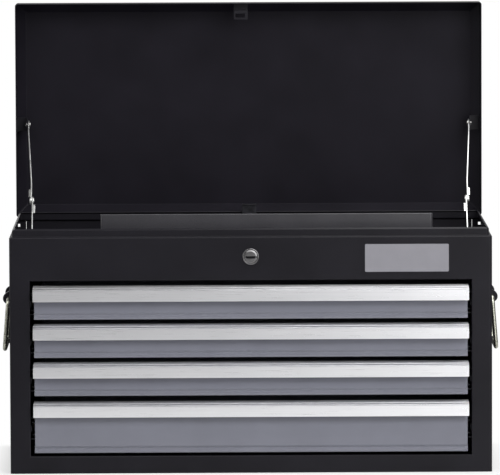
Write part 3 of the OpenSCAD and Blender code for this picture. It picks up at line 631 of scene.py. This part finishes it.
FINISHES = {
    "cabinet_coat": lambda name: powder_coat(name, colours().black, 0.34, 0.13),
    # The cabinet's coat with less gloss for the lid's inside: painted shade that renders it darker
    "lid_lining": lambda name: powder_coat(name, colours().lining, 0.4, 0.05),
    "drawer_enamel": lambda name: enamel(name, colours().drawer, 0.16),
    "tray_enamel": lambda name: powder_coat(name, colours().tray, 0.3, 0.5),
    "aluminium": lambda name: brushed_aluminium(name, colours().aluminium),
    "zinc_plate": lambda name: plated(name, colours().zinc, 0.32),
    # Near-black plate; on the slides it darkens them to match the gaps round the drawers
    "black_zinc": lambda name: plated(name, colours().rails, 0.4),
    "bright_plate": lambda name: plated(name, colours().chrome, 0.14, 0.03),
    "bail_plate": lambda name: plated(name, colours().bail, 0.24, 0.06),
    "lock_plate": lambda name: plated(name, colours().lock, 0.3, 0.04),
    "cage_plate": lambda name: plated(name, colours().cage, 0.35),
    "label_foil": lambda name: label_foil(name, colours().label),
}


def finish(name):
    own_name = "chest_" + name
    return bpy.data.materials.get(own_name) or FINISHES[name](own_name)


# ---- Cabinet ----

class CHEST_OT_front_frame(Operator):
    """The front sheet, folded round both sides and round the drawer opening"""
    bl_idname = "chest.front_frame"
    bl_label = "Front frame"

    def execute(self, context):
        sizes = folds()
        edge_x = HALF_WIDTH - sizes.corner
        piece = flat_panel("front_frame_folded", (-edge_x, FRONT_Y, 0),
                           (edge_x, FRONT_Y, WALL_TOP), (0, -1, 0))
        cuts = [((x, 0, 0), (1, 0, 0)) for x in (-OPENING_HALF_WIDTH, OPENING_HALF_WIDTH)]
        cuts += [((0, 0, z), (0, 0, 1)) for z in (OPENING_BOTTOM, OPENING_TOP)]
        with editing(piece):
            for point, normal in cuts:
                bpy.ops.mesh.select_all(action="SELECT")
                bpy.ops.mesh.bisect(plane_co=point, plane_no=normal)
        with editing(piece, "FACE"):
            pick(piece, "faces", lambda face: abs(middle(face).x) < OPENING_HALF_WIDTH
                 and OPENING_BOTTOM < middle(face).z < OPENING_TOP)
            bpy.ops.mesh.delete(type="FACE")
        for side in SIDES.values():
            fold_back(piece, side, edge_x, sizes.corner, WING)
        with editing(piece):
            pick(piece, "edges", self.round_opening)
            extrude_along((0, 0, 0), (0, OPENING_RETURN, 0))
        with editing(piece):
            pick(piece, "edges", lambda edge: near(middle(edge).y, FRONT_Y)
                 and self.round_opening(edge))
            bpy.ops.mesh.bevel(offset=sizes.opening, segments=4, affect="EDGES")
        merge_doubles(piece)
        face_out(piece, (0, 0, BODY_TOP / 2))
        give_thickness(piece, sizes.sheet)
        soften(piece)
        place(piece, finish("cabinet_coat"), "front_frame")
        return {"FINISHED"}

    @staticmethod
    def round_opening(edge):
        """Whether an edge lies on the drawer opening's outline."""
        spot = middle(edge)
        if near(abs(spot.x), OPENING_HALF_WIDTH):
            return OPENING_BOTTOM < spot.z < OPENING_TOP
        return (abs(spot.x) < OPENING_HALF_WIDTH
                and (near(spot.z, OPENING_BOTTOM) or near(spot.z, OPENING_TOP)))


class CHEST_OT_walls(Operator):
    """The side sheets, folded round the rear corners, and the back sheet between them"""
    bl_idname = "chest.walls"
    bl_label = "Side and back walls"

    def execute(self, context):
        sizes = folds()
        wrap = 14 * MM
        seam = 0.4 * MM
        # An open notch in each rear corner, just below the rim
        notch_x, notch_z = (324.6 * MM, 328 * MM), (315 * MM, 319 * MM)
        for side_name, side in SIDES.items():
            path = [(side * HALF_WIDTH, FRONT_Y + WING), (side * HALF_WIDTH, BACK_Y),
                    (side * (HALF_WIDTH - wrap), BACK_Y)]
            path = [(*point, 0) for point in rounded(path, [sizes.corner], 6)]
            node = side_name + "_side_panel"
            piece = stretched(node + "_folded", path, (0, 0, WALL_TOP), (0, 0, WALL_TOP / 2))
            give_thickness(piece, sizes.sheet)
            inner, outer = sorted(side * place_x for place_x in notch_x)
            cut_box(piece, (inner, BACK_Y - sizes.corner, notch_z[0]),
                    (outer, BACK_Y + sizes.sheet, notch_z[1]))
            soften(piece)
            place(piece, finish("cabinet_coat"), node)
        edge_x = HALF_WIDTH - wrap - seam
        piece = flat_panel("back_panel_sheet", (-edge_x, BACK_Y, 0), (edge_x, BACK_Y, WALL_TOP),
                           (0, 1, 0))
        give_thickness(piece, sizes.sheet)
        soften(piece, 0.4 * MM, 3)
        place(piece, finish("cabinet_coat"), "back_panel")
        return {"FINISHED"}


class CHEST_OT_rim(Operator):
    """The fold round the top of the walls, with its ledge and its leaning lip"""
    bl_idname = "chest.rim"
    bl_label = "Top rim"

    def execute(self, context):
        sizes = folds()
        lip_foot_bend = 0.9 * MM
        lip_lean_bend = 0.8 * MM
        section = [(0, WALL_TOP), (0, BODY_TOP), (LEDGE, BODY_TOP),
                   (LEDGE, BODY_TOP + LIP_UPRIGHT), (LEDGE + LIP_LEAN, BODY_TOP + LIP_HEIGHT)]
        section = rounded(section, [sizes.rim, lip_foot_bend, lip_lean_bend])
        piece = swept_ring("top_rim_folded", BODY_MIDDLE, BODY_HALF, sizes.corner, section)
        face_out(piece, (0, 0, BODY_TOP - 30 * MM))
        give_thickness(piece, sizes.sheet)
        soften(piece)
        place(piece, finish("cabinet_coat"), "top_rim")
        return {"FINISHED"}


class CHEST_OT_inner_walls(Operator):
    """The compartment floor, the bottom sheet and the walls that carry the slides"""
    bl_idname = "chest.inner_walls"
    bl_label = "Inner walls"

    def execute(self, context):
        for node in ("compartment_floor", "bottom_panel", "left_carrier_wall",
                     "right_carrier_wall"):
            dress(node, finish("cabinet_coat"))
        return {"FINISHED"}


class CHEST_OT_label(Operator):
    """The blank foil label with its rounded corners"""
    bl_idname = "chest.label"
    bl_label = "Label"

    def execute(self, context):
        low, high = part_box("blank_label")
        piece = flat_panel("blank_label_foil", low, (high.x, low.y, high.z), (0, -1, 0))
        with editing(piece, "VERT", "SELECT"):
            bpy.ops.mesh.bevel(offset=1.5 * MM, segments=4, affect="VERTICES")
        give_thickness(piece, high.y - low.y)
        soften(piece, 0.06 * MM, 1)
        place(piece, finish("label_foil"), "blank_label")
        return {"FINISHED"}


# ---- Lid ----

class CHEST_OT_lid(Operator):
    """The lid, folded in its shut place with sloping edges and then opened"""
    bl_idname = "chest.lid"
    bl_label = "Lid"

    def execute(self, context):
        sizes = folds()
        gap = 0.5 * MM
        plate_in = LID_SLOPE + 8 * MM
        shut_top = BODY_TOP + LID_PLATE_Y - HINGE_Y
        section = [(plate_in, shut_top), (LID_SLOPE, shut_top), (0, shut_top - LID_SLOPE),
                   (0, BODY_TOP + gap)]
        section = rounded(section, [sizes.lid, sizes.lid])
        piece = swept_ring("lid_shell_folded", BODY_MIDDLE, BODY_HALF, SMALL_CORNER, section,
                           floor=True)
        face_out(piece, (0, 0, BODY_TOP))
        piece.data.materials.append(finish("cabinet_coat"))
        # The inner faces get the duller copy of the coat, painted shade inside the lid
        piece.data.materials.append(finish("lid_lining"))
        give_thickness(piece, sizes.sheet, inner_material=1)
        hinge = Matrix.Translation((0, HINGE_Y, BODY_TOP))
        opened = Matrix.Rotation(math.radians(-90), 4, "X")
        piece.matrix_world = hinge @ opened @ hinge.inverted()
        settle(piece)
        soften(piece)
        place(piece, None, "lid_shell")
        return {"FINISHED"}


class CHEST_OT_hinge(Operator):
    """The long hinge with its two leaves and its pin"""
    bl_idname = "chest.hinge"
    bl_label = "Hinge"

    def execute(self, context):
        for node in ("body_hinge_leaf", "lid_hinge_leaf", "hinge_pin"):
            dress(node, finish("zinc_plate"), 0.15 * MM)
        return {"FINISHED"}


class CHEST_OT_stays(Operator):
    """The two folding stays with their brackets and rivets"""
    bl_idname = "chest.stays"
    bl_label = "Lid stays"

    def execute(self, context):
        for node in ("stay_brackets", "stay_lid_brackets"):
            dress(node, finish("cabinet_coat"))
        dress("stay_bracket_rivets", finish("black_zinc"), 0.5 * MM, 3)
        dress("stay_lid_rivets", finish("bright_plate"), 0.5 * MM, 3)
        for side_name in SIDES:
            for bar in ("upper", "lower"):
                dress(f"{side_name}_stay_{bar}_bar", finish("zinc_plate"), 0.35 * MM)
        return {"FINISHED"}


# ---- Drawers ----

class CHEST_OT_drawer_pans(Operator):
    """Four pans with rounded folds and hemmed walls, and the catch on the back of each"""
    bl_idname = "chest.drawer_pans"
    bl_label = "Drawer pans"

    def execute(self, context):
        for number in DRAWERS:
            node = f"drawer_{number}_pan"
            low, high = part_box(node)
            high = high - Vector((0, CATCH_ROOM, 0))
            piece = hemmed_pan(node + "_folded", low, high, hem=5 * MM)
            place(piece, finish("drawer_enamel"), node)
            self.catch(node)
        return {"FINISHED"}

    def catch(self, node):
        """A channel welded to the pan's back, which the lock bar's hook drops into."""
        low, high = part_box(node)
        reach = 11.7 * MM
        half_width = 12 * MM
        foot = low.z + 8 * MM
        rise = 8 * MM
        bend = 1.2 * MM
        path = [(-half_width, high.y - reach, foot + rise), (-half_width, high.y - reach, foot),
                (-half_width, high.y, foot), (-half_width, high.y, foot + rise)]
        path = rounded(path, [bend, bend])
        inside = (0, high.y - reach / 2, foot + rise)
        piece = stretched(node + "_catch", path, (2 * half_width, 0, 0), inside)
        give_thickness(piece, folds().sheet)
        soften(piece)
        place(piece, finish("zinc_plate"), body=frame["nodes"][node]["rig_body"])


class CHEST_OT_drawer_fronts(Operator):
    """Four fronts with folded ends and a groove and a lip along the bottom"""
    bl_idname = "chest.drawer_fronts"
    bl_label = "Drawer fronts"

    def execute(self, context):
        sizes = folds()
        returned = 6 * MM
        # The foot's points are (distance in from the face, height)
        foot = [(0, 10), (0, 9.3), (1.6, 6.2), (-1, 2.6), (-1, 1.8), (-0.6, 0)]
        foot = rounded([(0, inward * MM, height * MM) for inward, height in foot],
                       [0.3 * MM] * 4, 3)
        for number in DRAWERS:
            node = f"drawer_{number}_front"
            low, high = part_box(node)
            face_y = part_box(f"drawer_{number}_handle_strip")[1].y - sizes.sheet
            flat_x = high.x - sizes.drawer
            bend_z = low.z + foot[0].z
            piece = flat_panel(node + "_folded", (-flat_x, face_y, bend_z),
                               (flat_x, face_y, high.z), (0, -1, 0))
            for side in SIDES.values():
                fold_back(piece, side, flat_x, sizes.drawer, returned)
            with editing(piece):
                pick(piece, "edges", lambda edge: near(middle(edge).z, bend_z)
                     and near(middle(edge).y, face_y) and abs(middle(edge).x) < MM)
                extrude_along(*foot[:2])
                widened = (high.x / flat_x, 1, 1)
                bpy.ops.transform.resize(value=widened, center_override=(0, 0, 0))
                extrude_along(*foot[1:])
            face_out(piece, (0, 0, (low.z + high.z) / 2))
            give_thickness(piece, sizes.sheet)
            soften(piece)
            place(piece, finish("drawer_enamel"), node)
        return {"FINISHED"}


class CHEST_OT_handle_strips(Operator):
    """Four extruded aluminium strips whose sloping tops narrow at the ends"""
    bl_idname = "chest.handle_strips"
    bl_label = "Handle strips"

    def execute(self, context):
        wall = 1.4 * MM
        curl = 3 * MM
        taper = 1.1 * MM
        # Two shallow lines on the slope: where they start, and how they run on from there
        lines_at, line_wall, line_run, line_depth = (0.45, 0.80), 0.02, 0.16, 0.3 * MM
        bends = [0.2 * MM] + [0.05 * MM] * 7 + [0.4 * MM] + [0.1 * MM] * 5
        for number in DRAWERS:
            node = f"drawer_{number}_handle_strip"
            low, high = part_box(node)
            face_y = high.y - folds().sheet
            slope_low = high.z - STRIP_SLOPE
            ridge, brow = Vector((face_y, high.z)), Vector((low.y, slope_low))
            along = (brow - ridge).normalized()
            inward = Vector((-along.y, along.x)) * line_depth
            slope = [ridge]
            for share in lines_at:
                slope += [ridge.lerp(brow, share), ridge.lerp(brow, share + line_wall) + inward,
                          ridge.lerp(brow, share + line_run)]
            outline = [(high.y, high.z), *slope, brow, (low.y, low.z), (low.y + curl, low.z),
                       (low.y + curl, low.z + wall), (low.y + wall, low.z + wall),
                       (low.y + wall, slope_low - wall), (face_y, high.z - wall),
                       (high.y, high.z - wall)]
            outline = rounded(outline, bends, 3)
            piece = solid_bar(node + "_extruded", [(low.x, *point) for point in outline],
                              (high.x - low.x, 0, 0))
            for side in SIDES.values():
                with editing(piece, "VERT"):
                    pick(piece, "verts", lambda vert: side * vert.co.x > 0
                         and vert.co.z > high.z - 2 * wall)
                    bpy.ops.transform.translate(value=(-side * taper, 0, 0))
            soften(piece, 0.05 * MM, 1)
            place(piece, finish("aluminium"), node)
        return {"FINISHED"}


class CHEST_OT_slides(Operator):
    """The slide rails and the ball cages"""
    bl_idname = "chest.slides"
    bl_label = "Ball slides"

    def execute(self, context):
        # The slides are near black, as dark as the gaps round the drawers
        dress("cabinet_slide_rails", finish("black_zinc"), 0.2 * MM)
        for number in DRAWERS:
            dress(f"drawer_{number}_rails", finish("black_zinc"), 0.2 * MM)
            dress(f"drawer_{number}_ball_cages", finish("cage_plate"), 0.1 * MM, 1)
        return {"FINISHED"}


# ---- Tray, lock, lock bar and side handles ----

class CHEST_OT_tray(Operator):
    """The lift-out tray with a rolled hem round its top"""
    bl_idname = "chest.tray"
    bl_label = "Tote tray"

    def execute(self, context):
        low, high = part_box("tote_tray")
        piece = hemmed_pan("tote_tray_folded", low, high, 4 * MM, back_drop=16 * MM)
        place(piece, finish("tray_enamel"), "tote_tray")
        return {"FINISHED"}


class CHEST_OT_lock(Operator):
    """The lock's ring and slotted plug, with the nut, cam and screw behind the frame"""
    bl_idname = "chest.lock"
    bl_label = "Lock"

    def execute(self, context):
        low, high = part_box("lock_housing")
        radius = high.x
        barrel = 9 * MM
        bore = 6.6 * MM
        dish_y = low.y + 1.2 * MM
        rim_in = 1.6 * MM
        dish_in = 1.9 * MM
        section = [(bore, high.y), (barrel, high.y), (barrel, FRONT_Y), (radius, FRONT_Y),
                   (radius, low.y), (radius - rim_in, low.y), (radius - dish_in, dish_y),
                   (bore, dish_y), (bore, high.y)]
        bends = [bend * MM for bend in (0.3, 0.3, 0.1, 0.75, 0.5, 0.1, 0.1)]
        piece = turned("lock_housing_turned", (0, 0, LOCK_Z), rounded(section, bends))
        smooth(piece)
        place(piece, finish("lock_plate"), "lock_housing")

        plug_low, plug_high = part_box("lock_plug")
        head = radius - 2.1 * MM
        shank = bore - 0.1 * MM
        dome_in, dome_deep = 2 * MM, 0.7 * MM
        section = [(0, plug_low.y), (head - dome_in, plug_low.y), (head, plug_low.y + dome_deep),
                   (head, dish_y), (shank, dish_y), (shank, plug_high.y), (0, plug_high.y)]
        bends = [bend * MM for bend in (1.2, 0.4, 0.1, 0.1, 0.4)]
        piece = turned("lock_plug_turned", (0, 0, LOCK_Z), rounded(section, bends))
        # The photograph shows the slot just below the plug's middle
        slot_x = head - 0.2 * MM
        slot_low, slot_high = LOCK_Z - 2.6 * MM, LOCK_Z + 0.6 * MM
        slot_deep = 7 * MM
        cut_box(piece, (-slot_x, plug_low.y - MM, slot_low),
                (slot_x, plug_low.y + slot_deep, slot_high))
        soften(piece, 0.12 * MM)
        place(piece, finish("lock_plate"), "lock_plug")
        for node in ("lock_nut", "lock_cam", "cam_screw"):
            dress(node, finish("zinc_plate"))
        return {"FINISHED"}


class CHEST_OT_lock_bar(Operator):
    """The drawer lock bar with its guides and spring, and the lid's tabs for it and the lock"""
    bl_idname = "chest.lock_bar"
    bl_label = "Drawer lock bar"

    def execute(self, context):
        dress("lock_bar", finish("black_zinc"))
        dress("lock_bar_guides", finish("zinc_plate"))
        for node in ("lock_bar_pusher", "lid_striker"):
            dress(node, finish("cabinet_coat"))
        low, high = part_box("lock_bar_spring")
        wire = 0.5 * MM
        turns = 12
        coil = (high.x - low.x) / 2 - wire
        pitch = (high.z - low.z - 2 * wire) / turns
        centre = (low + high) / 2
        bpy.ops.mesh.primitive_circle_add(vertices=8, radius=wire, location=(coil, 0, 0),
                                          rotation=(math.pi / 2, 0, 0))
        spring = named("lock_bar_spring_coil")
        settle(spring)
        use_modifier(spring, "SCREW", axis="Z", angle=math.tau, screw_offset=pitch,
                     iterations=turns, steps=COIL_STEPS, render_steps=COIL_STEPS)
        spring.location = (centre.x, centre.y, low.z + wire)
        settle(spring)
        with editing(spring):
            bpy.ops.mesh.select_non_manifold()
            bpy.ops.mesh.edge_face_add()
            bpy.ops.mesh.select_all(action="SELECT")
            bpy.ops.mesh.normals_make_consistent(inside=False)
        smooth(spring, 60)
        place(spring, finish("zinc_plate"), "lock_bar_spring")
        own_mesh(spring)
        return {"FINISHED"}


class CHEST_OT_side_handles(Operator):
    """The handle plates with their rivets and the two bails"""
    bl_idname = "chest.side_handles"
    bl_label = "Side handles"

    def execute(self, context):
        for side_name in SIDES:
            dress(side_name + "_handle_plate", finish("cabinet_coat"), 0.4 * MM, 3)
            dress(side_name + "_handle_bail", finish("bail_plate"), 0.3 * MM)
        dress("handle_rivets", finish("bright_plate"), 0.5 * MM, 3)
        return {"FINISHED"}


# ---- Stage ----

class CHEST_OT_stage(Operator):
    """A pale floor, soft lamps and a white room"""
    bl_idname = "chest.stage"
    bl_label = "Stage"

    def execute(self, context):
        lights = context.scene.chest_lights
        self.floor(lights.gloss)
        self.room(lights.room, lights.gloss)
        for name, place_at, target, size in LAMPS:
            self.lamp(name + "_lamp", place_at, target, size, getattr(lights, name))
        context.scene.view_settings.view_transform = "Standard"
        return {"FINISHED"}

    def floor(self, gloss):
        """Pale paper that fades to white for the camera and to the room's gloss in reflections."""
        bpy.ops.mesh.primitive_circle_add(vertices=96, radius=FLOOR_RADIUS, fill_type="NGON")
        floor = named("floor")
        paper = Finish("floor_paper", colours().floor, 0.9, specular=0.1)
        seen = paper.add("ShaderNodeLightPath")
        # The distance out from the cabinet's footprint
        outward = paper.place
        for operation, other in (("ABSOLUTE", None), ("SUBTRACT", (HALF_WIDTH, -FRONT_Y, 0)),
                                 ("MAXIMUM", (0, 0, 0)), ("LENGTH", None)):
            step = paper.add("ShaderNodeVectorMath", operation=operation)
            paper.link(outward, step.inputs[0])
            if other:
                step.inputs[1].default_value = other
            outward = step.outputs["Value" if operation == "LENGTH" else "Vector"]
        surface = paper.shader.outputs["BSDF"]
        for ray, (start, end), strength in (("Is Camera Ray", SEEN_FADE, 1),
                                            ("Is Glossy Ray", MIRRORED_FADE, gloss)):
            beyond = paper.add("ShaderNodeEmission", {"Strength": strength})
            fade = paper.add("ShaderNodeMapRange", {"From Min": start, "From Max": end},
                             interpolation_type="SMOOTHSTEP")
            share = paper.add("ShaderNodeMath", operation="MULTIPLY")
            mix = paper.add("ShaderNodeMixShader")
            paper.link(outward, fade.inputs["Value"])
            paper.link(fade.outputs["Result"], share.inputs[0])
            paper.link(seen.outputs[ray], share.inputs[1])
            paper.link(share.outputs["Value"], mix.inputs["Fac"])
            paper.link(surface, mix.inputs[1])
            paper.link(beyond.outputs["Emission"], mix.inputs[2])
            surface = mix.outputs["Shader"]
        paper.link(surface, paper.tree.nodes["Material Output"].inputs["Surface"])
        floor.data.materials.append(paper.material)

    def room(self, strength, gloss):
        """A room that lights the chest gently and looks white to the camera."""
        world = bpy.data.worlds.new("white_room")
        bpy.context.scene.world = world
        world.use_nodes = True
        tree = world.node_tree
        background = tree.nodes["Background"]
        background.inputs["Color"].default_value = (1, 1, 1, 1)
        seen = tree.nodes.new("ShaderNodeLightPath")
        link = tree.links.new
        level = None
        for ray, value in (("Is Glossy Ray", gloss), ("Is Transmission Ray", 1),
                           ("Is Camera Ray", 1)):
            mix = tree.nodes.new("ShaderNodeMix")
            mix.inputs["A"].default_value = strength
            mix.inputs["B"].default_value = value
            link(seen.outputs[ray], mix.inputs["Factor"])
            if level:
                link(level, mix.inputs["A"])
            level = mix.outputs["Result"]
        link(level, background.inputs["Strength"])

    def lamp(self, name, place_at, target, size, power):
        """A rectangular soft lamp that the camera doesn't see."""
        data = bpy.data.lights.new(name, "AREA")
        data.shape = "RECTANGLE"
        data.size, data.size_y = size
        data.energy = power
        lamp = bpy.data.objects.new(name, data)
        bpy.context.scene.collection.objects.link(lamp)
        lamp.location = place_at
        aim = Vector(target) - Vector(place_at)
        lamp.rotation_euler = aim.to_track_quat("-Z", "Y").to_euler()
        lamp.visible_camera = False


class CHEST_OT_camera(Operator):
    """The camera at the place and with the long lens of the photograph"""
    bl_idname = "chest.camera"
    bl_label = "Camera"

    def execute(self, context):
        place_at = Vector((-50, -7983, 984)) * MM
        pitch = math.radians(4.82)
        yaw = math.radians(0.36)
        roll = math.radians(-0.23)
        picture_width = 500
        focal_pixels = 5756
        forward = Vector((math.sin(yaw) * math.cos(pitch), math.cos(yaw) * math.cos(pitch),
                          -math.sin(pitch)))
        level_right = Vector((math.cos(yaw), -math.sin(yaw), 0))
        level_up = level_right.cross(forward)
        right = math.cos(roll) * level_right + math.sin(roll) * level_up
        up = math.cos(roll) * level_up - math.sin(roll) * level_right
        data = bpy.data.cameras.new("camera")
        data.sensor_width = 36
        data.lens = focal_pixels * data.sensor_width / picture_width
        data.clip_end = 200
        camera = bpy.data.objects.new("camera", data)
        context.scene.collection.objects.link(camera)
        turn = Matrix((right, up, -forward)).transposed().to_4x4()
        camera.matrix_world = Matrix.Translation(place_at) @ turn
        context.scene.camera = camera
        return {"FINISHED"}


class CHEST_PT_sidebar(Panel):
    """Buttons for the pieces and the stage"""
    bl_label = "Tool chest"
    bl_idname = "CHEST_PT_sidebar"
    bl_space_type = "VIEW_3D"
    bl_region_type = "UI"
    bl_category = "Chest"

    def draw(self, context):
        for group_name in GROUPS:
            group = getattr(context.scene, group_name)
            column = self.layout.column()
            for name in group.bl_rna.properties.keys():
                if name not in ("rna_type", "name"):
                    column.prop(group, name)
        for operator in OPERATORS:
            self.layout.operator(operator.bl_idname)


OPERATORS = (
    CHEST_OT_camera, CHEST_OT_front_frame, CHEST_OT_walls, CHEST_OT_rim, CHEST_OT_inner_walls,
    CHEST_OT_label, CHEST_OT_lid, CHEST_OT_hinge, CHEST_OT_stays, CHEST_OT_drawer_pans,
    CHEST_OT_drawer_fronts, CHEST_OT_handle_strips, CHEST_OT_slides, CHEST_OT_tray, CHEST_OT_lock,
    CHEST_OT_lock_bar, CHEST_OT_side_handles, CHEST_OT_stage,
)
GROUPS = {"chest_folds": ChestFolds, "chest_colours": ChestColours, "chest_lights": ChestLights}


def register():
    for cls in (*GROUPS.values(), *OPERATORS, CHEST_PT_sidebar):
        bpy.utils.register_class(cls)
    for name, group in GROUPS.items():
        setattr(bpy.types.Scene, name, PointerProperty(type=group))


def unregister():
    for name in GROUPS:
        delattr(bpy.types.Scene, name)
    for cls in (CHEST_PT_sidebar, *reversed(OPERATORS), *GROUPS.values()):
        bpy.utils.unregister_class(cls)


def main():
    register()
    for operator in OPERATORS:
        group, name = operator.bl_idname.split(".")
        getattr(getattr(bpy.ops, group), name)()


if __name__ == "__main__":
    main()
